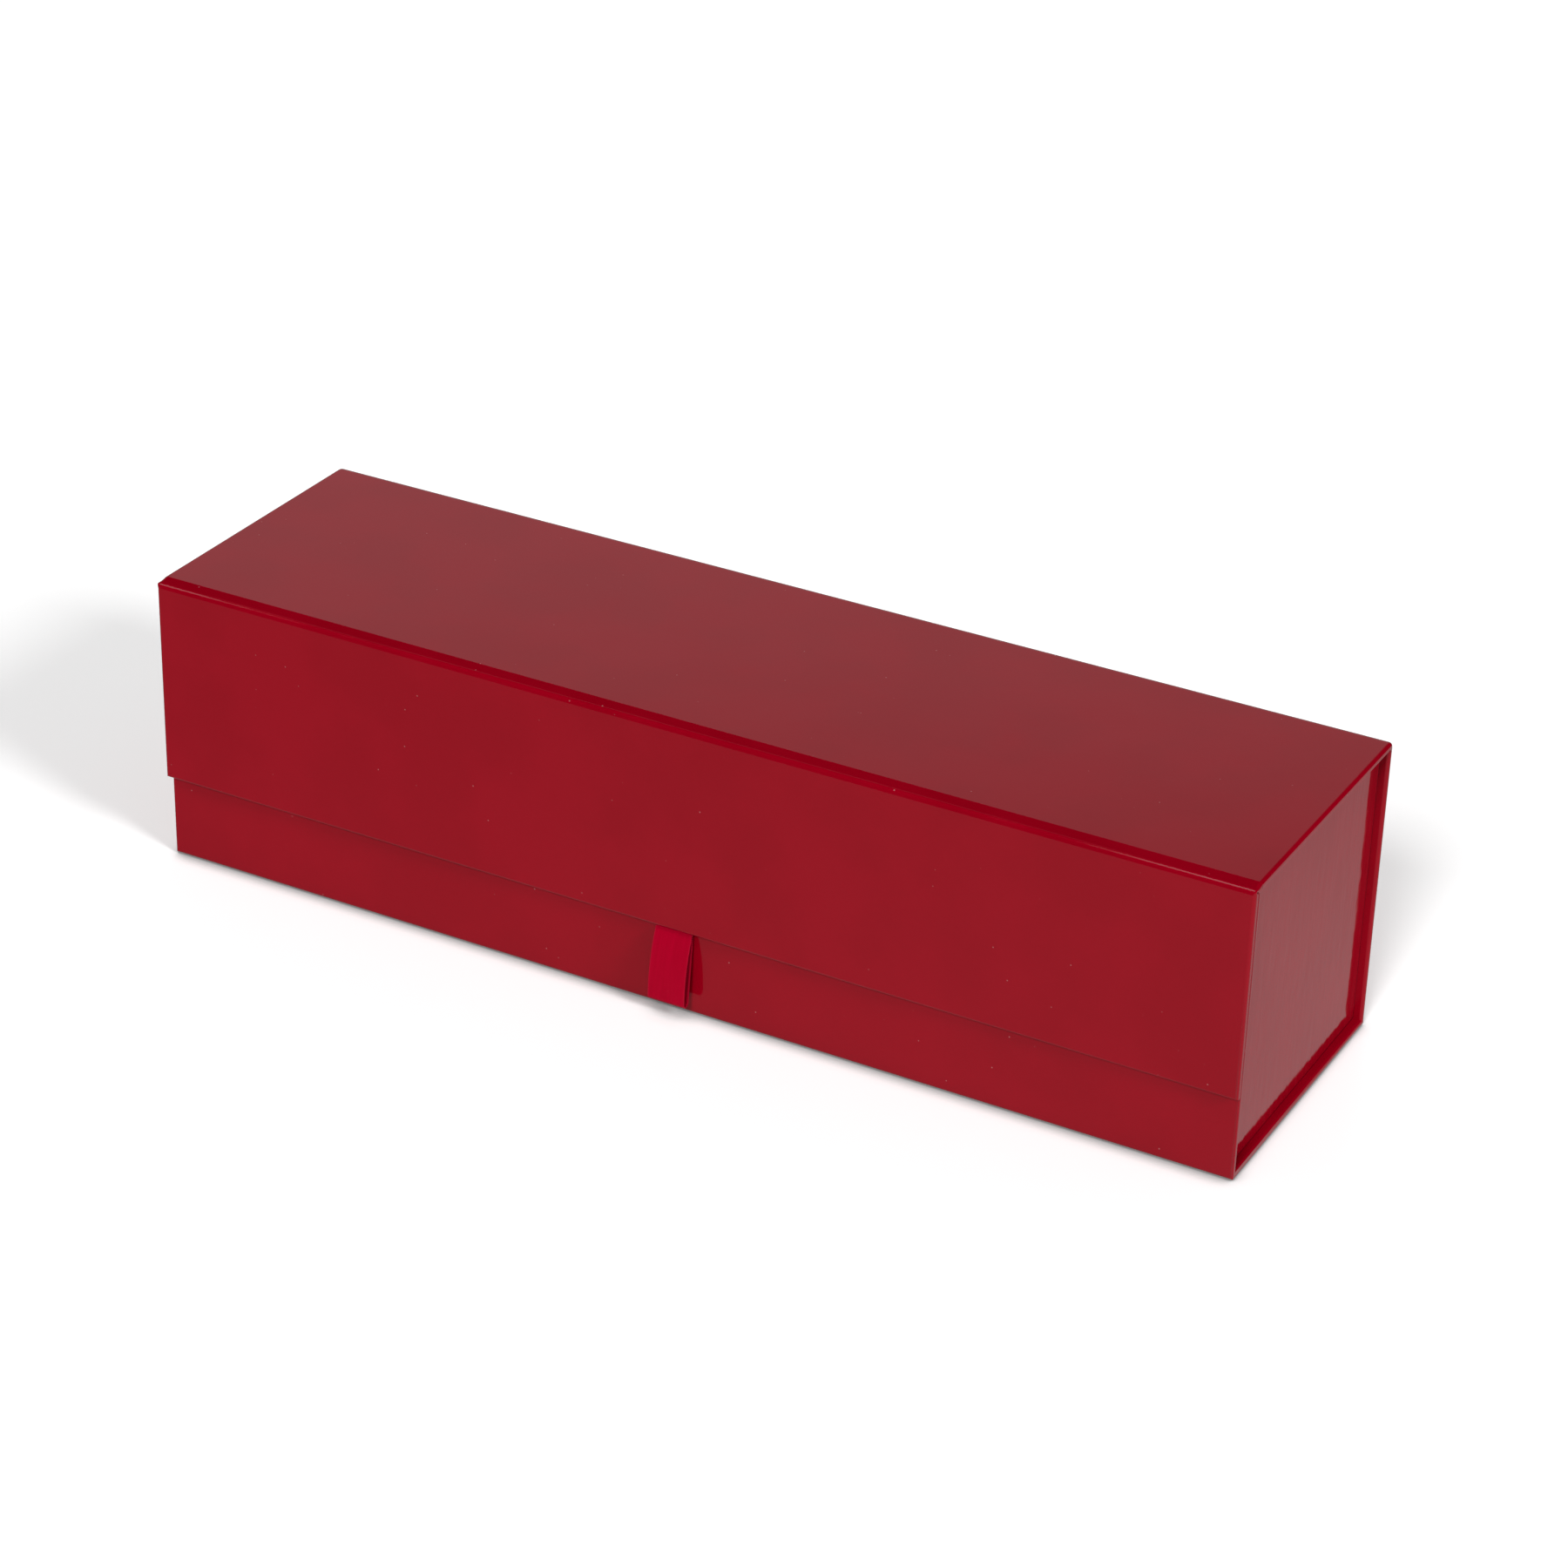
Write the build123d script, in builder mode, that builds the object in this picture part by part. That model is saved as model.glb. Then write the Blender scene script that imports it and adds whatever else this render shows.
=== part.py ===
from build123d import *
from math import acos, atan2, degrees
import os

# Millimetres. X runs along the box, the front is at -Y, and Z is up.
# The origin is the middle of the underside of the base.

# Outer sizes of the closed box
length = 340.0
tray_inset = 0.3  # the tray's ends stand this far inside the lid's and the flap's
tray_depth = 92.5
height = 90.0
flap_rise = 26.5  # from the table to the flap's lower edge

# Sheets that every panel is made of
board_thickness = 1.8
cover_thickness = 0.2
lining_thickness = 0.2
panel_thickness = cover_thickness + board_thickness + lining_thickness

# How the covered panels are finished
edge_radius = 1.0  # where the cover paper goes round the edge of a board
crisp_radius = 0.4  # the same on the inner side of the lid and the flap
turn_in = 3.0  # cover paper left showing on the inner face
end_recess = 2.6  # the end walls stand this far inside the cover's ends

# Room between the lid body, the flap body and the tray
lid_gap = 0.3
flap_gap = 0.3

# The two moving folds: the back one is round, the front one is creased
back_fold_reach = 3.0  # from its outer corner to the ends of the spine and the lid
front_fold_depth = 4.1  # from the flap's face back to the lid
front_fold_height = 2.1  # from the lid's face down to the flap
crease_drop = 0.7  # the paper falls this far from the lid to the crease
crease_inset = 0.15  # and leans out this far from the crease to the flap
crease_radius = 1.0
fold_slack = 0.4  # bare stretch beside the panel that moves
fold_thickness = cover_thickness + lining_thickness

# Magnets in the flap, steel plates in the front wall
magnet_radius = 5.0
magnet_thickness = 1.2
plate_radius = 6.0
plate_thickness = 0.8
disc_clearance = 0.1
disc_from_end = 20.0
disc_above_flap_edge = 14.0

# Gummed strips in the inside corners
tab_leg = 12.0
tab_thickness = 0.2
tab_clearance = 0.4

# Satin ribbon
ribbon_width = 11.5
ribbon_middle = 0.75  # it is glued a little right of the box's middle
ribbon_thickness = 0.25
ribbon_layer_gap = 0.07
ribbon_tail_length = 18.0
ribbon_pocket_clearance = 0.2
ribbon_start = 0.4  # from the flap's lower edge down to the top of the loop
ribbon_tail_inset = 0.1
loop_front_radius = 53.0
loop_front_angle = 23.0
loop_nose_radius = 1.15

# Places that follow from the sizes above
half_length = length / 2
tray_half = half_length - tray_inset
front_face = -tray_depth / 2
back_face = tray_depth / 2
flap_face = front_face - flap_gap - panel_thickness
wall_top = height - panel_thickness - lid_gap
spine_top = height - back_fold_reach
flap_top = height - front_fold_height
lid_front = flap_face + front_fold_depth
lid_back = back_face - back_fold_reach
end_face = tray_half - end_recess
end_inside = end_face - panel_thickness
tray_inside = back_face - panel_thickness

# Outward faces of the panels: local x runs along the panel, local y up or back
faces = {
    "base": Plane(origin=(0, 0, 0), x_dir=(-1, 0, 0), z_dir=(0, 0, -1)),
    "front": Plane(origin=(0, front_face, 0), x_dir=(1, 0, 0), z_dir=(0, -1, 0)),
    "spine": Plane(origin=(0, back_face, 0), x_dir=(-1, 0, 0), z_dir=(0, 1, 0)),
    "lid": Plane(origin=(0, 0, height), x_dir=(1, 0, 0), z_dir=(0, 0, 1)),
    "flap": Plane(origin=(0, flap_face, 0), x_dir=(1, 0, 0), z_dir=(0, -1, 0)),
    "left_end": Plane(origin=(-end_face, 0, 0), x_dir=(0, -1, 0), z_dir=(-1, 0, 0)),
    "right_end": Plane(origin=(end_face, 0, 0), x_dir=(0, 1, 0), z_dir=(1, 0, 0)),
}

# Half length, low and high edge of each whole panel, then of its lining
spans = {
    "base": (tray_half, front_face, back_face),
    "front": (tray_half, 0, wall_top),
    "spine": (tray_half, 0, spine_top),
    "lid": (half_length, lid_front, lid_back),
    "flap": (half_length, flap_rise, flap_top),
    "left_end": (tray_inside, panel_thickness, wall_top),
    "right_end": (tray_inside, panel_thickness, wall_top),
}
lining_spans = {
    "base": (end_inside, -tray_inside, tray_inside),
    "front": (end_inside, panel_thickness, wall_top - turn_in),
    "spine": (end_inside, panel_thickness, spine_top),
    "lid": (half_length - turn_in, lid_front, lid_back),
    "flap": (half_length - turn_in, flap_rise + turn_in, flap_top),
    "left_end": (tray_inside, panel_thickness, wall_top - turn_in),
    "right_end": (tray_inside, panel_thickness, wall_top - turn_in),
}

# Edges that the cover paper goes round
free_ends = ("base", "front", "spine", "lid", "flap")
free_low = ("flap",)
free_high = ("front", "left_end", "right_end")
folded_low = ("base", "front", "spine")
folded_high = ("base",)

# Panels whose cover paper turns tightly on the inner side
crisp = ("lid", "flap")

# Planes through the tray's two long lower corners, where its panels are mitred
front_mitre = Plane(origin=(0, front_face, 0), x_dir=(1, 0, 0), z_dir=(0, 1, -1))
back_mitre = Plane(origin=(0, back_face, 0), x_dir=(1, 0, 0), z_dir=(0, -1, -1))
mitres = {
    "base": ((front_mitre, Keep.TOP), (back_mitre, Keep.TOP)),
    "front": ((front_mitre, Keep.BOTTOM),),
    "spine": ((back_mitre, Keep.BOTTOM),),
}


def free_edges(name, side, upward, endward):
    """The edges of one side of a panel that its cover paper goes round."""
    found = []
    if name in free_low:
        found += [side.sort_by(upward)[0]]
    if name in free_high:
        found += [side.sort_by(upward)[-1]]
    if name in free_ends:
        found += [side.sort_by(endward)[0], side.sort_by(endward)[-1]]
    return found


def panel_solid(name, skin, depth):
    """The whole panel with skin 0, or its board with the skin of paper taken off."""
    face = faces[name]
    half, low, high = spans[name]
    half -= skin if name in free_ends else 0
    low += skin if name in free_low + folded_low else 0
    high -= skin if name in free_high + folded_high else 0
    upward = Axis((0, 0, 0), face.y_dir)
    endward = Axis((0, 0, 0), face.x_dir)
    outward = Axis((0, 0, 0), face.z_dir)
    inner_radius = crisp_radius if name in crisp else edge_radius
    with BuildPart() as solid:
        with BuildSketch(face.offset(-skin)):
            with Locations((0, (low + high) / 2)):
                Rectangle(2 * half, high - low)
        extrude(amount=skin - depth)
        outer_side = solid.edges().group_by(outward)[-1]
        rounded = free_edges(name, outer_side, upward, endward)
        if name in folded_low:
            rounded += [outer_side.sort_by(upward)[0]]
        if name in folded_high:
            rounded += [outer_side.sort_by(upward)[-1]]
        fillet(rounded, edge_radius - skin)
        inner_side = solid.edges().group_by(outward)[0]
        fillet(free_edges(name, inner_side, upward, endward), inner_radius - skin)
        for plane, side in mitres.get(name, ()):
            split(bisect_by=plane, keep=side)
    return solid.part


def write(part, name):
    part.label = name
    export_step(part, "parts/" + name + ".step")


os.makedirs("parts", exist_ok=True)

# Magnets and plates lie face to face, one pair near each end of the flap
disc_spots = [
    (side * (half_length - disc_from_end), flap_rise + disc_above_flap_edge)
    for side in (-1, 1)
]
magnet_face = flap_face + panel_thickness - lining_thickness
plate_face = front_face + cover_thickness
magnet_plane = Plane(origin=(0, magnet_face, 0), x_dir=(1, 0, 0), z_dir=(0, -1, 0))
plate_plane = Plane(origin=(0, plate_face, 0), x_dir=(-1, 0, 0), z_dir=(0, 1, 0))

with BuildPart() as magnet_pockets:
    with BuildSketch(magnet_plane):
        with Locations(*disc_spots):
            Circle(magnet_radius + disc_clearance)
    extrude(amount=magnet_thickness)

with BuildPart() as plate_pockets:
    with BuildSketch(plate_plane):
        with Locations(*disc_spots):
            Circle(plate_radius + disc_clearance)
    extrude(amount=plate_thickness)

# The ribbon's tail lies in a pocket that opens through the flap's lower edge
tail_thickness = 2 * ribbon_thickness + ribbon_layer_gap
tail_middle = magnet_face - tail_thickness / 2
pocket_width = ribbon_width + 2 * ribbon_pocket_clearance
pocket_high = flap_rise + ribbon_tail_length + ribbon_pocket_clearance
with BuildPart() as ribbon_pocket:
    with BuildSketch(Plane.XY.offset(flap_rise - edge_radius)):
        with Locations((ribbon_middle, magnet_face - (tail_thickness + ribbon_pocket_clearance) / 2)):
            Rectangle(pocket_width, tail_thickness + ribbon_pocket_clearance)
    extrude(amount=pocket_high - flap_rise + edge_radius)

cuts = {
    "flap": (magnet_pockets.part, ribbon_pocket.part),
    "front": (plate_pockets.part,),
}

# Seven panels: a board, its lining, and the cover paper round both
for name, face in faces.items():
    whole = panel_solid(name, 0, panel_thickness)
    core = panel_solid(name, cover_thickness, panel_thickness - lining_thickness)
    half, low, high = lining_spans[name]
    with BuildPart() as lining:
        with BuildSketch(face.offset(-panel_thickness)):
            with Locations((0, (low + high) / 2)):
                Rectangle(2 * half, high - low)
        extrude(amount=lining_thickness)
    with BuildPart() as cover:
        add(whole)
        add(core, mode=Mode.SUBTRACT)
        add(lining.part, mode=Mode.SUBTRACT)
        if name == "flap":
            add(ribbon_pocket.part, mode=Mode.SUBTRACT)
    with BuildPart() as board:
        add(core)
        for cut in cuts.get(name, ()):
            add(cut, mode=Mode.SUBTRACT)
    write(board.part, name + "_board")
    write(lining.part, name + "_lining")
    write(cover.part, name + "_cover")

# Discs, one node each
for side, (x, z) in zip(("left", "right"), disc_spots):
    with BuildPart() as magnet:
        with BuildSketch(magnet_plane):
            with Locations((x, z)):
                Circle(magnet_radius)
        extrude(amount=magnet_thickness)
    write(magnet.part, side + "_magnet")
    with BuildPart() as plate:
        with BuildSketch(plate_plane):
            with Locations((-x, z)):
                Circle(plate_radius)
        extrude(amount=plate_thickness)
    write(plate.part, side + "_plate")

# The back fold is a quarter turn of cover paper and lining glued together
with BuildPart() as back_fold:
    with BuildSketch(Plane.YZ.offset(-half_length)):
        with Locations((lid_back, spine_top)):
            Circle(back_fold_reach)
            Circle(back_fold_reach - fold_thickness, mode=Mode.SUBTRACT)
        with Locations((lid_back + back_fold_reach / 2, spine_top + back_fold_reach / 2)):
            Rectangle(back_fold_reach, back_fold_reach, mode=Mode.INTERSECT)
        with Locations((lid_back, spine_top)):
            Rectangle(2 * fold_slack, 4 * back_fold_reach, mode=Mode.SUBTRACT)
    extrude(amount=length)
write(back_fold.part, "back_fold")

# The front fold is the same paper, falling from the lid to a crease and on to the flap
outer_corner = (flap_face + crease_inset, height - crease_drop)
inner_corner = (outer_corner[0] + fold_thickness, outer_corner[1] - fold_thickness)
with BuildPart() as front_fold:
    with BuildSketch(Plane.YZ.offset(-half_length)) as profile:
        with BuildLine():
            Polyline(
                (lid_front, height),
                outer_corner,
                (flap_face, flap_top + fold_slack),
                (flap_face + fold_thickness, flap_top + fold_slack),
                inner_corner,
                (lid_front, height - fold_thickness),
                close=True,
            )
        make_face()
        fillet(profile.vertices().sort_by_distance(outer_corner)[0], crease_radius)
        fillet(profile.vertices().sort_by_distance(inner_corner)[0], crease_radius - fold_thickness)
    extrude(amount=length)
write(front_fold.part, "front_fold")

# Gummed strips: one along the base and two upright ones at each end wall
tab_top = wall_top - turn_in
tab_low = panel_thickness + tab_leg + tab_clearance
for side, way in (("left", -1), ("right", 1)):
    with BuildPart() as base_tab:
        run = tray_inside - tab_thickness - tab_clearance
        with BuildSketch(Plane.XZ.offset(-run)):
            with BuildLine():
                Polyline(
                    (way * end_inside, panel_thickness),
                    (way * end_inside, panel_thickness + tab_leg),
                    (way * (end_inside - tab_thickness), panel_thickness + tab_leg),
                    (way * (end_inside - tab_thickness), panel_thickness + tab_thickness),
                    (way * (end_inside - tab_leg), panel_thickness + tab_thickness),
                    (way * (end_inside - tab_leg), panel_thickness),
                    close=True,
                )
            make_face()
        extrude(amount=2 * run)
    write(base_tab.part, side + "_base_tab")
    for place, wall in (("front", -1), ("spine", 1)):
        with BuildPart() as upright_tab:
            with BuildSketch(Plane.XY.offset(tab_low)):
                with BuildLine():
                    Polyline(
                        (way * end_inside, wall * tray_inside),
                        (way * end_inside, wall * (tray_inside - tab_leg)),
                        (way * (end_inside - tab_thickness), wall * (tray_inside - tab_leg)),
                        (way * (end_inside - tab_thickness), wall * (tray_inside - tab_thickness)),
                        (way * (end_inside - tab_leg), wall * (tray_inside - tab_thickness)),
                        (way * (end_inside - tab_leg), wall * tray_inside),
                        close=True,
                    )
                make_face()
            extrude(amount=tab_top - tab_low)
        write(upright_tab.part, side + "_" + place + "_tab")

# Ribbon tail, two layers glued flat under the flap's lining
with BuildPart() as ribbon_tail:
    with BuildSketch(Plane.XY.offset(flap_rise + ribbon_tail_inset)):
        with Locations((ribbon_middle, tail_middle)):
            Rectangle(ribbon_width, tail_thickness)
    extrude(amount=ribbon_tail_length - ribbon_tail_inset)
write(ribbon_tail.part, "ribbon_tail")

# Ribbon loop: the front layer bows outwards, turns at the nose and runs back up
layer_offset = tail_thickness / 2 - ribbon_thickness / 2
loop_top = flap_rise - ribbon_start
front_top = Vector(tail_middle - layer_offset, loop_top)
back_top = Vector(tail_middle + layer_offset, loop_top)
front_heading = Vector(0, -1).rotate(Axis.Z, -loop_front_angle)
with BuildPart() as ribbon_loop:
    with BuildSketch(Plane.YZ.offset(ribbon_middle - ribbon_width / 2)):
        with BuildLine():
            front_layer = JernArc(front_top, front_heading, loop_front_radius, loop_front_angle)
            reach = back_top - (front_layer @ 1 + Vector(loop_nose_radius, 0))
            nose_angle = 180 + degrees(atan2(reach.Y, reach.X) - acos(loop_nose_radius / reach.length))
            nose = JernArc(front_layer @ 1, front_layer % 1, loop_nose_radius, nose_angle)
            Line(nose @ 1, back_top)
        trace(line_width=ribbon_thickness)
    extrude(amount=ribbon_width)
write(ribbon_loop.part, "ribbon_loop")
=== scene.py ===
import math
import bmesh
import bpy
from mathutils import Matrix, Vector, noise


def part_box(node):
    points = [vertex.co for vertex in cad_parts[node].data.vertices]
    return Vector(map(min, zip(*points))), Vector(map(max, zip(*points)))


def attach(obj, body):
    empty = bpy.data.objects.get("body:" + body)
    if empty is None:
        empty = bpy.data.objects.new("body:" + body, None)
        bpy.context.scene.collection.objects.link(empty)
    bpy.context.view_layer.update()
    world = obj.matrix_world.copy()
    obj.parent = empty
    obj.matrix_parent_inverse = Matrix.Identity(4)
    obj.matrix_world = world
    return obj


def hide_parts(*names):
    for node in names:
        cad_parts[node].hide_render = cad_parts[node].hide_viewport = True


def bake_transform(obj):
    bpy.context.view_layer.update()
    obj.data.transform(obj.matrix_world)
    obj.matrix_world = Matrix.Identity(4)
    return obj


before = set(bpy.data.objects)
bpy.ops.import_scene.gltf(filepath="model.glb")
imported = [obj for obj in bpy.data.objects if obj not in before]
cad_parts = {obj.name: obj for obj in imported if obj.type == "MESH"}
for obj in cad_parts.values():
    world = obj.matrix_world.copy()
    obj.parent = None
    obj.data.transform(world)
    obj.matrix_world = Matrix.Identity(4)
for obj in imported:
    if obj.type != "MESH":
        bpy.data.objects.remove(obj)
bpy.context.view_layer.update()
mm = 0.001
print("frame loaded,", len(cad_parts), "parts")


# camera, set by the box's corners in the 1800 x 1800 photograph

cameraSettings = {
    "place": (0.49814, -0.92347, 0.61665),
    "turn": (61.6146, -1.4751, 28.728),
    "lens": 97.066,
}


def setCamera(values):
    lens = bpy.data.cameras.new("photoCamera")
    lens.sensor_width = 36
    lens.sensor_fit = "HORIZONTAL"
    lens.lens = values["lens"]
    lens.clip_start = 0.05
    lens.clip_end = 50
    camera = bpy.data.objects.new("photoCamera", lens)
    camera.location = values["place"]
    camera.rotation_euler = [math.radians(a) for a in values["turn"]]
    bpy.context.scene.collection.objects.link(camera)
    bpy.context.scene.camera = camera


setCamera(cameraSettings)


# floor, world and lamps

studio = {
    "floorSize": 8.0,
    "floorColour": 0.93,
    "floorGlow": 0.235,  # what the lens sees on top of the lit floor
    "contactReach": 0.007,
    "contactShade": (0.3, 0.95, 0.3, 1),  # from and to in openness, then the level at each
    "skyLight": 0.2,
    "wallGloss": 0.61,
    "wallTop": (0.43, 0.6),  # this limit and the next ones are parts of a unit direction
    "wallRight": (-0.12, 0.2),
    "wallFront": (0.1, 0.35),
    "windowGloss": 4.2,
    "windowRise": (0.65, 0.7, 1.35, 1.4),  # in radians, as the overhead one
    "windowSpan": (-0.66, -0.6, -0.15, -0.08),
    "leftWindow": (-0.548, -0.524),
    "rightWindow": (-0.339, -0.327),
    "overheadRise": (1.9, 1.95, 2.1, 2.2),
    "overheadGloss": 0.1,
    "keyFrom": (0.121, -0.781, 0.612),
    "keyPower": 0.62,
    "keyAngle": 14,
    "fillFrom": (0.803, -0.237, 0.547),
    "fillPower": 0.548,
    "fillAngle": 13,
    "backFrom": (-0.35, 0.93, 0.1),
    "backPower": 0.28,
    "backAngle": 13,
}
floorShine = {  # from and to in metres, then the level at each
    "front": (-0.27, 0.14, 0.36, 0.55),
    "beside": (-0.06, 0.02, 0.66, 0.55),
    "behind": (0.05, 0.19, 0, 0.1),
    "boxEnd": (0.155, 0.175),
    "farOff": (0.215, 0.29, 1, 0),
}


def addNode(tree, kind, settings=None, inputs=None):
    made = tree.nodes.new("ShaderNode" + kind)
    for key, value in (settings or {}).items():
        setattr(made, key, value)
    for key, value in (inputs or {}).items():
        if isinstance(value, bpy.types.NodeSocket):
            tree.links.new(value, made.inputs[key])
        else:
            made.inputs[key].default_value = value
    return made


def addMath(tree, operation, first, second=0.0):
    return addNode(tree, "Math", {"operation": operation}, {0: first, 1: second}).outputs[0]


def rampTo(tree, value, low, high, toLow=0.0, toHigh=1.0):
    made = addNode(tree, "MapRange", {"interpolation_type": "SMOOTHSTEP"},
                   {"Value": value, "From Min": low, "From Max": high, "To Min": toLow, "To Max": toHigh})
    return made.outputs[0]


def bandOf(tree, value, limits, level=1.0):
    # climbs between the first two limits and falls between the last two
    start, full, ebb, end = limits
    climb = rampTo(tree, value, start, full)
    return addMath(tree, "MULTIPLY", climb, rampTo(tree, value, ebb, end, level, 0))


def mixColour(tree, factor, first, second):
    return addNode(tree, "Mix", {"data_type": "RGBA"}, {0: factor, 6: first, 7: second}).outputs[2]


def mixLevel(tree, factor, first, second):
    return addNode(tree, "Mix", {"data_type": "FLOAT"}, {0: factor, 2: first, 3: second}).outputs[0]


def splitVector(tree, vector):
    return addNode(tree, "SeparateXYZ", None, {0: vector}).outputs


def addLamp(name, direction, power, angle):
    light = bpy.data.lights.new(name, "SUN")
    light.energy = power * math.pi
    light.angle = math.radians(angle)
    lamp = bpy.data.objects.new(name, light)
    lamp.rotation_euler = Vector(direction).to_track_quat("Z", "Y").to_euler()
    lamp.visible_glossy = False
    bpy.context.scene.collection.objects.link(lamp)


def seenRays(tree):
    # which rays come from the lens, and which see the studio in gloss or through glass
    path = addNode(tree, "LightPath").outputs
    glossy = addMath(tree, "MAXIMUM", path["Is Glossy Ray"], path["Is Transmission Ray"])
    return path["Is Camera Ray"], glossy


def setWorld(values):
    world = bpy.data.worlds.new("studioWorld")
    bpy.context.scene.world = world
    world.use_nodes = True
    tree = world.node_tree
    tree.nodes.clear()
    x, y, z = splitVector(tree, addNode(tree, "TexCoord").outputs["Generated"])
    # the gloss sees a pale wall behind the box on its left, in a dark room
    wall = rampTo(tree, z, *values["wallTop"], values["wallGloss"], 0)
    wall = addMath(tree, "MULTIPLY", wall, rampTo(tree, x, *values["wallRight"], 1, 0))
    wall = addMath(tree, "MULTIPLY", wall, rampTo(tree, y, *values["wallFront"]))
    # two high windows in front of the box shine on its front crease near both ends,
    # and a faint lamp overhead shines on it between them
    rise = addMath(tree, "ARCTAN2", z, addMath(tree, "MULTIPLY", y, -1))
    wide = bandOf(tree, x, values["windowSpan"])
    window = addMath(tree, "MULTIPLY", bandOf(tree, rise, values["windowRise"]), wide)
    ends = addMath(tree, "MAXIMUM", rampTo(tree, x, *values["rightWindow"]),
                   rampTo(tree, x, *values["leftWindow"], 1, 0))
    overhead = bandOf(tree, rise, values["overheadRise"], values["overheadGloss"])
    window = mixLevel(tree, ends, overhead, window)
    window = addMath(tree, "MULTIPLY", window, values["windowGloss"])
    camera, glossy = seenRays(tree)
    level = mixLevel(tree, glossy, values["skyLight"], addMath(tree, "ADD", wall, window))
    level = addMath(tree, "MAXIMUM", level, camera)
    glow = addNode(tree, "Background", None, {"Color": (1, 1, 1, 1), "Strength": level})
    output = addNode(tree, "OutputWorld")
    tree.links.new(glow.outputs[0], output.inputs["Surface"])


def floorGloss(tree, values):
    # what the gloss sees of the floor: brightest beside the right end, and dark far off
    x, y, z = splitVector(tree, addNode(tree, "TexCoord").outputs["Object"])
    front = rampTo(tree, x, *values["front"])
    behind = rampTo(tree, y, *values["behind"])
    beside = addMath(tree, "SUBTRACT", rampTo(tree, y, *values["beside"]), behind)
    near = mixLevel(tree, rampTo(tree, x, *values["boxEnd"]), front, beside)
    return addMath(tree, "MULTIPLY", near, rampTo(tree, addMath(tree, "ABSOLUTE", y), *values["farOff"]))


def makeFloor(values):
    bm = bmesh.new()
    bmesh.ops.create_grid(bm, x_segments=1, y_segments=1, size=values["floorSize"] / 2)
    mesh = bpy.data.meshes.new("studioFloor")
    bm.to_mesh(mesh)
    bm.free()
    floor = bpy.data.objects.new("studioFloor", mesh)
    bpy.context.scene.collection.objects.link(floor)
    material = bpy.data.materials.new("floorPaper")
    material.use_nodes = True
    tree = material.node_tree
    shader = tree.nodes["Principled BSDF"]
    shader.inputs["Roughness"].default_value = 0.9
    shader.inputs["Specular IOR Level"].default_value = 0.0
    shader.inputs["Emission Color"].default_value = (1, 1, 1, 1)
    # painted contact shadow: the floor's colour and its glow for the lens darken where the box stands close
    reach = {"Distance": values["contactReach"]}
    bare = addNode(tree, "AmbientOcclusion", {"samples": 8}, reach).outputs["AO"]
    bare = rampTo(tree, bare, *values["contactShade"])
    grey = values["floorColour"]
    tree.links.new(mixColour(tree, bare, (0, 0, 0, 1), (grey, grey, grey, 1)), shader.inputs["Base Color"])
    camera, glossy = seenRays(tree)
    shown = addMath(tree, "MULTIPLY", camera, addMath(tree, "MULTIPLY", bare, values["floorGlow"]))
    tree.links.new(shown, shader.inputs["Emission Strength"])
    mirrored = addNode(tree, "Emission", None, {"Strength": floorGloss(tree, floorShine)})
    either = addNode(tree, "MixShader", None, {0: glossy, 1: shader.outputs[0], 2: mirrored.outputs[0]})
    tree.links.new(either.outputs[0], tree.nodes["Material Output"].inputs["Surface"])
    mesh.materials.append(material)


setWorld(studio)
makeFloor(studio)
for lamp in ("key", "fill", "back"):
    addLamp(lamp + "Lamp", studio[lamp + "From"], studio[lamp + "Power"], studio[lamp + "Angle"])
bpy.context.scene.view_settings.view_transform = "Standard"
print("studio set")


# materials

def newMaterial(name, colour, roughness, ior=1.45):
    material = bpy.data.materials.new(name)
    material.use_nodes = True
    tree = material.node_tree
    shader = tree.nodes["Principled BSDF"]
    shader.inputs["Base Color"].default_value = (*colour, 1)
    shader.inputs["Roughness"].default_value = roughness
    shader.inputs["IOR"].default_value = ior
    place = addNode(tree, "TexCoord").outputs["Object"]
    return material, tree, shader, place


def addNoise(tree, place, size, detail=2.0, stretch=(1, 1, 1)):
    # size is the width of one patch, in millimetres
    mapped = addNode(tree, "Mapping", None, {"Vector": place, "Scale": stretch}).outputs[0]
    made = addNode(tree, "TexNoise", None, {"Vector": mapped, "Scale": 1000 / size, "Detail": detail})
    return made.outputs["Fac"]


def addBump(tree, height, depth, normal=None):
    # depth is in millimetres
    inputs = {"Height": height, "Distance": depth * mm}
    if normal is not None:
        inputs["Normal"] = normal
    return addNode(tree, "Bump", None, inputs).outputs[0]


glossPaper = {
    "red": (0.262, 0.0002, 0.0078),
    "shadeRed": (0.245, 0.0001, 0.0070),
    # the pale colour of the painted sheen streaks on the end walls
    "sheenStreak": (0.33, 0.05, 0.06),
    "dust": (0.55, 0.30, 0.30),
    # the dark colour of the painted shade where the end walls meet the other panels
    "seamShade": (0.11, 0.0, 0.004),
    "roughness": 0.065,
    "ior": 1.3,
    "cloudSize": 28,  # in mm, as the next three
    "wearSize": 14,
    "streakSize": 0.7,
    "speckSpacing": 4.5,
    "speckReach": (0.028, 0.06),  # share of the spacing
    "speckLevel": (0.45, 1, 0, 0.4),
    "wave": (38, 0.05),  # width and depth in mm, as the next three
    "ripple": (5, 0.004),
    "peel": (0.9, 0.0012),
    "buckle": (3.2, 0.05),  # upright ripples in the end walls' paper
}


def addRelief(tree, place, relief, detail, normal=None, stretch=(1, 1, 1)):
    size, depth = relief
    return addBump(tree, addNoise(tree, place, size, detail, stretch), depth, normal)


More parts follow.
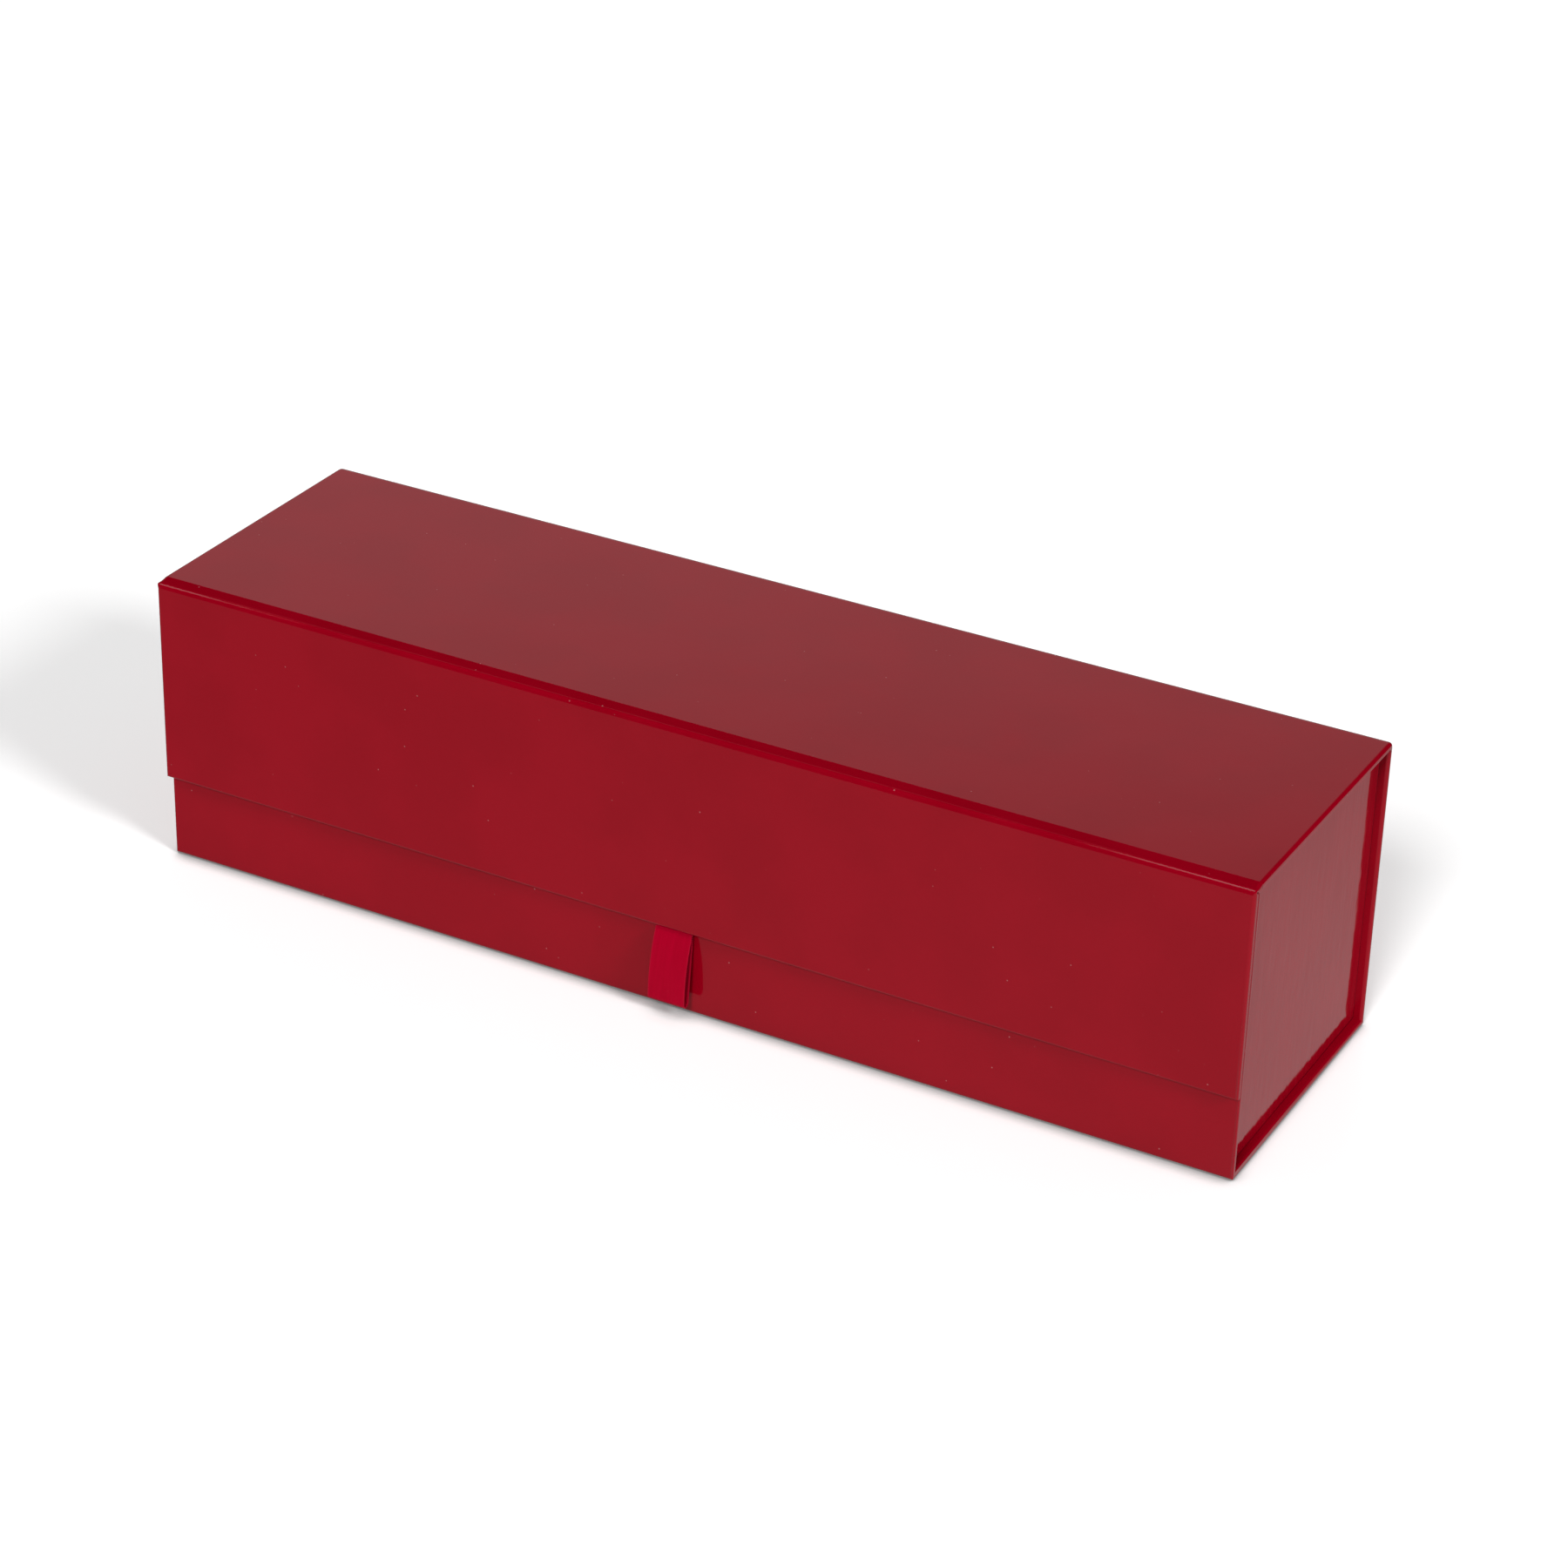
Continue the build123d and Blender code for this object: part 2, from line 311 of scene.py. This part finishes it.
def addSheenAndSeamShade(tree, place, colour, streaks, values):
    # painted sheen: pale upright streaks over the end walls' colour, standing in for streaks in their
    # reflection
    lines = addNoise(tree, place, values["streakSize"], 3, streaks)
    colour = mixColour(tree, rampTo(tree, lines, 0.4, 0.75, 0, 0.09), colour, (*values["sheenStreak"], 1))
    # painted shade: darker where the end walls meet the base, the spine and the front wall
    low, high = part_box("right_end_cover")
    x, y, z = splitVector(tree, place)
    beside = addMath(tree, "SUBTRACT", high.y, addMath(tree, "ABSOLUTE", y))
    seamShade = addMath(tree, "MINIMUM", beside, addMath(tree, "SUBTRACT", z, low.z))
    return mixColour(tree, rampTo(tree, seamShade, 0.2 * mm, 0.6 * mm, 0.8, 0), colour, (*values["seamShade"], 1))


def dustSpecks(tree, place, values):
    spread = {"Vector": place, "Scale": 1000 / values["speckSpacing"]}
    cells = addNode(tree, "TexVoronoi", {"feature": "F1"}, spread)
    near = rampTo(tree, cells.outputs["Distance"], *values["speckReach"], 1, 0)
    chosen = addNode(tree, "SeparateColor", None, {0: cells.outputs["Color"]}).outputs[0]
    return addMath(tree, "MULTIPLY", near, rampTo(tree, chosen, *values["speckLevel"]))


def addDent(tree, place, dent, normal):
    x, y, z, radius, depth = dent
    spot = (x * mm, y * mm, z * mm)
    away = addNode(tree, "VectorMath", {"operation": "DISTANCE"}, {0: place, 1: spot}).outputs["Value"]
    return addBump(tree, rampTo(tree, away, 0.2 * radius * mm, radius * mm), depth, normal)


def makeGlossPaper(name, streaks=None, dents=()):
    values = glossPaper
    material, tree, shader, place = newMaterial(name, values["red"], values["roughness"], values["ior"])
    cloud = addNoise(tree, place, values["cloudSize"], 3)
    colour = mixColour(tree, rampTo(tree, cloud, 0.35, 0.65), (*values["shadeRed"], 1), (*values["red"], 1))
    if streaks:
        colour = addSheenAndSeamShade(tree, place, colour, streaks, values)
    speck = dustSpecks(tree, place, values)
    tree.links.new(mixColour(tree, speck, colour, (*values["dust"], 1)), shader.inputs["Base Color"])
    wear = addNoise(tree, place, values["wearSize"], 3)
    rough = rampTo(tree, wear, 0.3, 0.7, values["roughness"] - 0.02, values["roughness"] + 0.03)
    tree.links.new(addMath(tree, "ADD", rough, speck), shader.inputs["Roughness"])
    normal = addRelief(tree, place, values["wave"], 1)
    for dent in dents:
        normal = addDent(tree, place, dent, normal)
    normal = addRelief(tree, place, values["ripple"], 2, normal)
    normal = addRelief(tree, place, values["peel"], 2, normal)
    if streaks:
        normal = addRelief(tree, place, values["buckle"], 2, normal, (1, 1, 0.5))
    tree.links.new(normal, shader.inputs["Normal"])
    return material


liningPaper = {"red": (0.19, 0.004, 0.012), "fibre": (0.24, 0.010, 0.020), "roughness": 0.62}
gummedPaper = {"red": (0.165, 0.003, 0.011), "fibre": (0.21, 0.009, 0.019), "roughness": 0.55}


def makeLiningPaper(name, values):
    material, tree, shader, place = newMaterial(name, values["red"], values["roughness"])
    fibres = addNoise(tree, place, 0.35, 4, (1, 1, 0.35))
    cloud = addNoise(tree, place, 12, 3)
    both = addMath(tree, "MULTIPLY", rampTo(tree, fibres, 0.35, 0.7), rampTo(tree, cloud, 0.2, 0.8, 0.5, 1))
    colour = mixColour(tree, both, (*values["red"], 1), (*values["fibre"], 1))
    tree.links.new(colour, shader.inputs["Base Color"])
    tree.links.new(addBump(tree, fibres, 0.012), shader.inputs["Normal"])
    return material


greyBoard = {"grey": (0.23, 0.205, 0.165), "dark": (0.10, 0.09, 0.075), "pale": (0.42, 0.40, 0.36)}


def makeGreyBoard(name, values, lined=None):
    material, tree, shader, place = newMaterial(name, values["grey"], 0.9)
    pulp = addNoise(tree, place, 0.8, 5)
    flecks = addNoise(tree, place, 1.7, 6, (0.3, 1, 1))
    colour = mixColour(tree, rampTo(tree, pulp, 0.3, 0.72), (*values["grey"], 1), (*values["pale"], 1))
    colour = mixColour(tree, rampTo(tree, flecks, 0.64, 0.74, 0, 0.8), colour, (*values["dark"], 1))
    if lined:
        # the lining is pressed over the board's edges in the folds
        facing = splitVector(tree, addNode(tree, "TexCoord").outputs["Normal"])[lined]
        edge = addMath(tree, "GREATER_THAN", addMath(tree, "ABSOLUTE", facing), 0.9)
        colour = mixColour(tree, edge, colour, (*liningPaper["red"], 1))
    tree.links.new(colour, shader.inputs["Base Color"])
    tree.links.new(addBump(tree, pulp, 0.04), shader.inputs["Normal"])
    return material


def makePlate(name, colour, roughness, rolled):
    # the marks of a rolled plate run along X
    material, tree, shader, place = newMaterial(name, colour, roughness)
    shader.inputs["Metallic"].default_value = 1
    marks = addNoise(tree, place, 0.5, 3, (0.04, 1, 1) if rolled else (1, 1, 1))
    shade = mixColour(tree, rampTo(tree, marks, 0.3, 0.7), (*[0.82 * c for c in colour], 1), (*colour, 1))
    tree.links.new(shade, shader.inputs["Base Color"])
    rough = rampTo(tree, marks, 0.25, 0.75, roughness - 0.06, roughness + 0.08)
    tree.links.new(rough, shader.inputs["Roughness"])
    tree.links.new(addBump(tree, marks, 0.004), shader.inputs["Normal"])
    return material


satin = {
    "crimson": (0.355, 0.0, 0.0165),
    "shade": (0.29, 0.0, 0.012),
    "glint": (0.52, 0.03, 0.06),
    "threads": 84,
    "pick": 0.28,  # in mm along the ribbon, as the next
    "dot": 0.55,
}


def satinNoise(tree, flat, scale, detail):
    mapped = addNode(tree, "Mapping", None, {"Vector": flat, "Scale": scale}).outputs[0]
    made = addNode(tree, "TexNoise", None, {"Vector": mapped, "Scale": 1.0, "Detail": detail})
    return made.outputs["Fac"]


def makeSatin(values, length):
    material, tree, shader, place = newMaterial("crimsonSatin", values["crimson"], 0.5, 1.5)
    shader.inputs["Specular IOR Level"].default_value = 0.03
    flat = addNode(tree, "UVMap", {"uv_map": "strip"}).outputs[0]
    across, along = splitVector(tree, flat)[:2]
    crimson, shade, glint = [(*values[key], 1) for key in ("crimson", "shade", "glint")]
    # warp threads run along the ribbon, and picks cross them
    warp = addMath(tree, "SINE", addMath(tree, "MULTIPLY", across, values["threads"] * math.tau))
    picks = addMath(tree, "SINE", addMath(tree, "MULTIPLY", along, length / values["pick"] * math.tau))
    cloud = satinNoise(tree, flat, (14, 5, 1), 3)
    glintFlecks = satinNoise(tree, flat, (90, 60, 1), 2)
    depth = rampTo(tree, warp, -1, 1)
    colour = mixColour(tree, rampTo(tree, cloud, 0.3, 0.7, 0, 0.5), crimson, shade)
    # painted shade: darker in the hollows between the warp threads
    colour = mixColour(tree, addMath(tree, "MULTIPLY", depth, 0.18), colour, shade)
    # painted highlights: sparse bright flecks of glint on the threads
    colour = mixColour(tree, rampTo(tree, glintFlecks, 0.68, 0.78, 0, 0.5), colour, glint)
    # dots of the turned weft down both selvedges, brightened with the glint colour as painted highlights
    edge = addMath(tree, "ABSOLUTE", addMath(tree, "SUBTRACT", across, 0.5))
    dots = addMath(tree, "SINE", addMath(tree, "MULTIPLY", along, length / values["dot"] * math.tau))
    dots = addMath(tree, "MULTIPLY", rampTo(tree, dots, 0.1, 0.8), rampTo(tree, edge, 0.47, 0.485))
    colour = mixColour(tree, addMath(tree, "MULTIPLY", dots, 0.3), colour, glint)
    tree.links.new(colour, shader.inputs["Base Color"])
    shader.inputs["Anisotropic"].default_value = 0.6
    normal = addBump(tree, addMath(tree, "ADD", warp, addMath(tree, "MULTIPLY", picks, 0.5)), 0.004)
    tree.links.new(normal, shader.inputs["Normal"])
    return material


lining = makeLiningPaper("liningPaper", liningPaper)
gummed = makeLiningPaper("gummedPaper", gummedPaper)
boards = {  # by the axis that the lined edges face
    None: makeGreyBoard("rawGreyboard", greyBoard),
    "Y": makeGreyBoard("lidGreyboard", greyBoard, "Y"),
    "Z": makeGreyBoard("uprightGreyboard", greyBoard, "Z"),
}
nickel = makePlate("nickelPlate", (0.66, 0.66, 0.68), 0.22, rolled=False)
zinc = makePlate("zincPlate", (0.60, 0.60, 0.62), 0.34, rolled=True)
print("materials made")


# what the CAD parts are made of

def paintPart(name, material):
    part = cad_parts[name]
    if part.material_slots:
        for slot in part.material_slots:
            slot.material = material
    else:
        part.data.materials.append(material)


linedEdges = {"base": None, "front": None, "spine": "Z", "lid": "Y", "flap": "Z",
              "left_end": None, "right_end": None}
for panel, axis in linedEdges.items():
    paintPart(panel + "_board", boards[axis])
    paintPart(panel + "_lining", lining)
for side in ("left", "right"):
    paintPart(side + "_magnet", nickel)
    paintPart(side + "_plate", zinc)
    for place in ("base", "front", "spine"):
        paintPart(side + "_" + place + "_tab", gummed)
print("boards, linings, tabs and discs painted")


# mesh helpers

hair = 1e-7  # in metres, closer than this is the same place
weldGap = 0.004 * mm
sharpAngle = math.radians(40)


def joinShells(shells):
    # several shells as one, welded where they meet
    whole = bmesh.new()
    for shell in shells:
        passing = bpy.data.meshes.new("passing")
        shell.to_mesh(passing)
        shell.free()
        whole.from_mesh(passing)
        bpy.data.meshes.remove(passing)
    bmesh.ops.remove_doubles(whole, verts=whole.verts, dist=weldGap)
    return whole


def newPiece(bm, name, materials):
    mesh = bpy.data.meshes.new(name)
    bm.to_mesh(mesh)
    bm.free()
    for material in materials:
        mesh.materials.append(material)
    piece = bpy.data.objects.new(name, mesh)
    bpy.context.scene.collection.objects.link(piece)
    return piece


def thicken(piece, thickness, inside=0, offset=-1):
    # gives the sheet its thickness, then smooth shading with sharp cut edges
    sheet = piece.modifiers.new("thickness", "SOLIDIFY")
    sheet.thickness = thickness
    sheet.offset = offset
    sheet.use_even_offset = True
    sheet.material_offset = inside
    made = bpy.data.meshes.new_from_object(piece.evaluated_get(bpy.context.evaluated_depsgraph_get()))
    piece.modifiers.clear()
    thin = piece.data
    piece.data = made
    bpy.data.meshes.remove(thin)
    made.name = piece.name
    bm = bmesh.new()
    bm.from_mesh(made)
    for face in bm.faces:
        face.smooth = True
    for edge in bm.edges:
        if len(edge.link_faces) == 2:
            edge.smooth = edge.calc_face_angle() < sharpAngle
    bm.to_mesh(made)
    bm.free()


# the cover paper, one skin round each board

wraps = {
    "thickness": 0.2,
    "edgeRadius": 1.0,
    "crispRadius": 0.4,  # on the inner side of the lid and the flap
    "segments": 8,
    "slotRoom": 0.2,
}
directions = {"+x": Vector((1, 0, 0)), "-x": Vector((-1, 0, 0)), "+y": Vector((0, 1, 0)),
              "-y": Vector((0, -1, 0)), "+z": Vector((0, 0, 1)), "-z": Vector((0, 0, -1))}


def facesTowards(bm, name):
    return [face for face in bm.faces if face.normal.dot(directions[name]) > 0.999]


def edgesBetween(bm, pairs):
    wanted = [{first, second} for first, second in pairs]
    found = []
    for edge in bm.edges:
        sides = set()
        for face in edge.link_faces:
            sides.update(name for name in directions if face.normal.dot(directions[name]) > 0.9)
        if sides in wanted:
            found.append(edge)
    return found


def withEdges(faces):
    # each item once, in an order that stays the same on every run
    return list(dict.fromkeys(item for face in faces for item in (face, *face.edges, *face.verts)))


def everything(bm):
    return bm.verts[:] + bm.edges[:] + bm.faces[:]


def bevelPairs(bm, pairs, radius):
    bmesh.ops.bevel(bm, geom=edgesBetween(bm, pairs), offset=radius * mm, affect="EDGES",
                    segments=wraps["segments"], profile=0.5, material=-1)


def panelSkin(node, out, free, folded=(), bare=(), mitres=(), inner="edgeRadius"):
    # node is the panel's name, out the way it faces, free the edges that the paper goes round,
    # folded those where it runs on to the next panel, and bare those without paper
    low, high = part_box(node + "_cover")
    windowLow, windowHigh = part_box(node + "_lining")
    within = ("-" if out[0] == "+" else "+") + out[1]
    flatAxes = [axis for axis in range(3) if "xyz"[axis] != out[1]]
    bm = bmesh.new()
    bmesh.ops.create_cube(bm, size=1, matrix=Matrix.LocRotScale((low + high) / 2, None, high - low))
    bevelPairs(bm, [(out, way) for way in free + folded], wraps["edgeRadius"])
    bevelPairs(bm, [(within, way) for way in free], wraps[inner])
    bmesh.ops.delete(bm, geom=[face for way in bare for face in facesTowards(bm, way)], context="FACES")
    # the inner face stays open where the lining lies
    for axis in flatAxes:
        for level in (windowLow[axis], windowHigh[axis]):
            if low[axis] + 10 * hair < level < high[axis] - 10 * hair:
                where = Vector((0, 0, 0))
                where[axis] = level
                across = Vector((0, 0, 0))
                across[axis] = 1
                bmesh.ops.bisect_plane(bm, geom=withEdges(facesTowards(bm, within)), dist=hair,
                                       plane_co=where, plane_no=across)
    inside = []
    for face in facesTowards(bm, within):
        middle = face.calc_center_median()
        if all(windowLow[axis] < middle[axis] < windowHigh[axis] for axis in flatAxes):
            inside.append(face)
    bmesh.ops.delete(bm, geom=inside, context="FACES")
    for where, away in mitres:
        bmesh.ops.bisect_plane(bm, geom=everything(bm), dist=hair, plane_co=where, plane_no=away,
                               clear_outer=True)
    return bm


def facesUnder(bm, left, right, ceiling):
    found = []
    for face in bm.faces:
        middle = face.calc_center_median()
        if left < middle.x < right and middle.z < ceiling:
            found.append(face)
    return found


def cutSlot(bm, node):
    # the ribbon comes out of the flap's lower edge through this
    low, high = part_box(node)
    room = wraps["slotRoom"] * mm
    left, right = low.x - room, high.x + room
    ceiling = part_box("flap_cover")[0].z + mm
    for x in (left, right):
        bmesh.ops.bisect_plane(bm, geom=everything(bm), dist=hair, plane_co=(x, 0, 0), plane_no=(1, 0, 0))
    for y in (low.y - room, high.y):
        near = withEdges(facesUnder(bm, left, right, ceiling))
        bmesh.ops.bisect_plane(bm, geom=near, dist=hair, plane_co=(0, y, 0), plane_no=(0, 1, 0))
    near = facesUnder(bm, left, right, ceiling)
    cut = [face for face in near if low.y - room < face.calc_center_median().y < high.y]
    bmesh.ops.delete(bm, geom=cut, context="FACES")


def settleOrder(bm):
    # bevels leave their faces in another order on each run, so everything is sorted by its place
    skew = Vector((1, 0.6180, 0.2357))
    bm.verts.sort(key=lambda vert: vert.co.dot(skew))
    bm.edges.sort(key=lambda edge: (edge.verts[0].co + edge.verts[1].co).dot(skew))
    bm.faces.sort(key=lambda face: face.calc_center_median().dot(skew))


def finishWrap(bm, name, material, body, *nodes):
    settleOrder(bm)
    piece = newPiece(bm, name, [material])
    thicken(piece, wraps["thickness"] * mm)
    piece.modifiers.new("flatFaces", "WEIGHTED_NORMAL").keep_sharp = True
    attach(piece, body)
    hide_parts(*nodes)


def makeTrayWrap():
    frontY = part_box("front_cover")[0].y
    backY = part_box("spine_cover")[1].y
    frontCorner, backCorner = Vector((0, frontY, 0)), Vector((0, backY, 0))
    ends = ("+x", "-x")
    base = panelSkin("base", "-z", ends, ("+y", "-y"),
                     mitres=((frontCorner, Vector((0, -1, 1))), (backCorner, Vector((0, 1, 1)))))
    front = panelSkin("front", "-y", ends + ("+z",), ("-z",), mitres=((frontCorner, Vector((0, 1, -1))),))
    spine = panelSkin("spine", "+y", ends, ("-z",), ("+z",), mitres=((backCorner, Vector((0, -1, -1))),))
    finishWrap(joinShells([base, front, spine]), "trayWrap", makeGlossPaper("trayPaper"), "tray",
               "base_cover", "front_cover", "spine_cover")


def makeLidWrap():
    shell = panelSkin("lid", "+z", ("+x", "-x"), bare=("+y", "-y"), inner="crispRadius")
    finishWrap(shell, "lidWrap", makeGlossPaper("lidPaper"), "lid", "lid_cover")


# soft marks, first over the two magnets: x, y, z, radius and depth in mm
flapMarks = [
    (-150, -48.75, 41, 7.5, -0.035),
    (150, -48.75, 41, 7.5, -0.035),
    (20, -48.75, 57, 9, -0.03),
    (92, -48.75, 74, 8, -0.03),
]


def makeFlapWrap():
    shell = panelSkin("flap", "-y", ("+x", "-x", "-z"), bare=("+z",), inner="crispRadius")
    cutSlot(shell, "ribbon_tail")
    finishWrap(shell, "flapWrap", makeGlossPaper("flapPaper", dents=flapMarks), "flap", "flap_cover")


def makeEndWraps():
    material = makeGlossPaper("endPaper", streaks=(1, 1, 0.03))
    for side, way in (("left", "-x"), ("right", "+x")):
        shell = panelSkin(side + "_end", way, ("+z",), bare=("+y", "-y", "-z"))
        finishWrap(shell, side + "EndWrap", material, "tray", side + "_end_cover")


makeTrayWrap()
makeLidWrap()
makeFlapWrap()
makeEndWraps()
print("cover paper wrapped")


# routes in the YZ plane, which the folds and the ribbon follow

def headingAt(route, heading, far):
    for stretch, turned in route:
        heading += turned * min(max(far / stretch, 0), 1)
        far -= stretch
    return heading


def walkRoute(route, start, heading, pitch):
    # spots along stretches of (length, radians turned), each with the heading there
    length = sum(stretch for stretch, turned in route)
    rows = round(length / pitch)
    step = length / rows
    spot = Vector((0, *start))
    walk = [(spot.copy(), heading)]
    for row in range(rows):
        onward = headingAt(route, heading, (row + 0.5) * step)
        spot = spot + step * Vector((0, math.cos(onward), math.sin(onward)))
        walk.append((spot.copy(), headingAt(route, heading, (row + 1) * step)))
    return walk, length


# the two folds, which are strips of the same paper with rounded ends

folds = {
    "creaseDrop": 0.7,  # the front one falls this far from the lid to its crease
    "creaseInset": 0.15,
    "creaseRadius": 1.0,
    "tightEnd": 0.35,  # radius of its ends at the crease
    "endDepth": 1.9,
    "tightDepth": 0.75,
    "thickness": 0.25,
    "pitch": 0.15,
    "columns": 170,
    "endColumns": 6,
    "dropColumns": 2,
    "tightShare": 0.3,  # shares of the strip on each side of its crease
    "shallowShare": 0.15,
    "wave": 0.03,  # how far the paper stands proud or sunk, in mm
    "waveLength": 13,
    "seed": 3.7,
}
lidLow, lidHigh = [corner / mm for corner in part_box("lid_cover")]
flapLow, flapHigh = [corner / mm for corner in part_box("flap_cover")]
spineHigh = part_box("spine_cover")[1] / mm


def acrossFold(column, half, radius, depth):
    # how far along X a column lies, and how far it turns down below the strip's face
    bend, drop, flat = folds["endColumns"], folds["dropColumns"], folds["columns"]
    fromMiddle = column - (bend + drop) - flat / 2
    past = abs(fromMiddle) - flat / 2
    if past <= 0:
        return fromMiddle / (flat / 2) * (half - radius), 0
    angle = min(past / bend, 1) * math.pi / 2
    down = radius * (1 - math.cos(angle)) + max(past - bend, 0) / drop * (depth - radius)
    return math.copysign(half - radius + radius * math.sin(angle), fromMiddle), down


def paperWave(x, share, half, name):
    seed = Vector((x / folds["waveLength"], share * 1.5, folds["seed"] * len(name)))
    ripple = noise.noise(seed) + 0.3 * noise.noise(seed * 3.1)
    return ripple * math.sin(math.pi * share) * (1 - abs(x / half) ** 8) * folds["wave"]


def outwardAt(heading):
    return Vector((0, math.sin(heading), -math.cos(heading)))


def makeFold(name, node, route, start, heading, halves, crease=None):
    walk, length = walkRoute(route, start, heading, folds["pitch"])
    rows = len(walk) - 1
    columns = folds["columns"] + 2 * (folds["endColumns"] + folds["dropColumns"])
    bm = bmesh.new()
    bmesh.ops.create_grid(bm, x_segments=columns, y_segments=rows, size=0.5)
    for vert in bm.verts:
        column, row = round((vert.co.x + 0.5) * columns), round((vert.co.y + 0.5) * rows)
        spot, onward = walk[row]
        share = row / rows
        half = halves[0] + share * (halves[1] - halves[0])
        away = 1 if crease is None else abs(share - crease)
        tight = max(1 - away / folds["tightShare"], 0)
        shallow = min(max(2 - away / folds["shallowShare"], 0), 1)
        radius = wraps["edgeRadius"] + tight * (folds["tightEnd"] - wraps["edgeRadius"])
        depth = folds["endDepth"] + shallow * (folds["tightDepth"] - folds["endDepth"])
        x, down = acrossFold(column, half, radius, depth)
        proud = paperWave(x, share, half, name)
        vert.co = (Vector((x, spot.y, spot.z)) + outwardAt(onward) * (proud - down)) * mm
    first = min(bm.faces, key=lambda face: (face.calc_center_median() - walk[0][0] * mm).length)
    first.normal_update()
    if first.normal.dot(outwardAt(walk[0][1])) < 0:
        bmesh.ops.reverse_faces(bm, faces=bm.faces)
    piece = newPiece(bm, name, [makeGlossPaper(name + "Paper"), lining])
    thicken(piece, folds["thickness"] * mm, inside=1)
    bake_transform(piece)
    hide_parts(node)


def makeBackFold():
    radius = lidHigh.z - spineHigh.z
    quarter = math.pi / 2
    route = [(radius * quarter, quarter)]
    makeFold("backFoldPaper", "back_fold", route, (spineHigh.y, spineHigh.z), quarter,
             (spineHigh.x, lidHigh.x))


def makeFrontFold():
    # two flat strips with a tight round between them
    top = Vector((lidLow.y, lidHigh.z))
    corner = Vector((flapLow.y + folds["creaseInset"], lidHigh.z - folds["creaseDrop"]))
    low = Vector((flapLow.y, flapHigh.z))
    heading = math.atan2(corner.y - top.y, corner.x - top.x)
    turn = math.atan2(low.y - corner.y, low.x - corner.x) - heading
    tangent = folds["creaseRadius"] * math.tan(turn / 2)
    fall, lean = (corner - top).length - tangent, (low - corner).length - tangent
    arc = folds["creaseRadius"] * turn
    route = [(fall, 0), (arc, turn), (lean, 0)]
    crease = (fall + arc / 2) / (fall + arc + lean)
    makeFold("frontFoldPaper", "front_fold", route, top, heading,
             (lidHigh.x, flapHigh.x), crease)


makeBackFold()
makeFrontFold()
print("folds made")


# the ribbon, one strip from its tail round the loop and back

ribbon = {
    "width": 11.5,
    "middle": 0.75,
    "thickness": 0.25,
    "tailTop": 44.5,
    "frontLayer": -47.195,
    "backLayer": -46.875,
    "loopTop": 26.1,
    "lip": 0.4,
    "bowRadius": 53.0,
    "bowAngle": 23.0,
    "noseRadius": 1.15,
    "columns": 24,
    "rowPitch": 0.2,
    "picot": 0.05,
    "picotPitch": 0.55,
    "blendAbove": 0.2,  # it bends from this far above its lip to this far below the loop's top
    "blendBelow": 1.2,
}


def ribbonRoute(values):
    # from the front tail down, out, round the nose and back up
    bow = math.radians(values["bowAngle"])
    noseY = values["frontLayer"] - values["bowRadius"] * (1 - math.cos(bow)) + values["noseRadius"]
    noseZ = values["loopTop"] - values["bowRadius"] * math.sin(bow)
    reachY, reachZ = values["backLayer"] - noseY, values["loopTop"] - noseZ
    reach = math.hypot(reachY, reachZ)
    turn = math.pi + math.atan2(reachZ, reachY) - math.acos(values["noseRadius"] / reach)
    straight = math.sqrt(reach ** 2 - values["noseRadius"] ** 2)
    tail = values["tailTop"] - values["loopTop"] - values["lip"]
    return [
        (tail, 0),
        (values["lip"], -bow),
        (values["bowRadius"] * bow, bow),
        (values["noseRadius"] * turn, turn),
        (straight, 0),
        (values["lip"], math.pi - turn),
        (tail, 0),
    ]


def makeRibbon(values):
    start = (values["frontLayer"], values["tailTop"])
    walk, length = walkRoute(ribbonRoute(values), start, -math.pi / 2, values["rowPitch"])
    rows = len(walk) - 1
    bm = bmesh.new()
    bm.loops.layers.uv.new("strip")
    bmesh.ops.create_grid(bm, x_segments=values["columns"], y_segments=rows, size=0.5, calc_uvs=True)
    for vert in bm.verts:
        across, row = vert.co.x, round((vert.co.y + 0.5) * rows)
        x = across * values["width"]
        if abs(across) > 0.49:
            wave = math.cos(row * length / rows / values["picotPitch"] * math.tau)
            x += math.copysign(values["picot"] * (wave - 1), across)
        vert.co = Vector((values["middle"] + x, walk[row][0].y, walk[row][0].z)) * mm
    bmesh.ops.recalc_face_normals(bm, faces=bm.faces)
    piece = newPiece(bm, "ribbonStrip", [makeSatin(satin, length)])
    thicken(piece, values["thickness"] * mm, offset=0)
    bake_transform(piece)
    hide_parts("ribbon_loop", "ribbon_tail")
    print("ribbon cut length in mm:", round(length, 2))


makeRibbon(ribbon)
print("ribbon made")
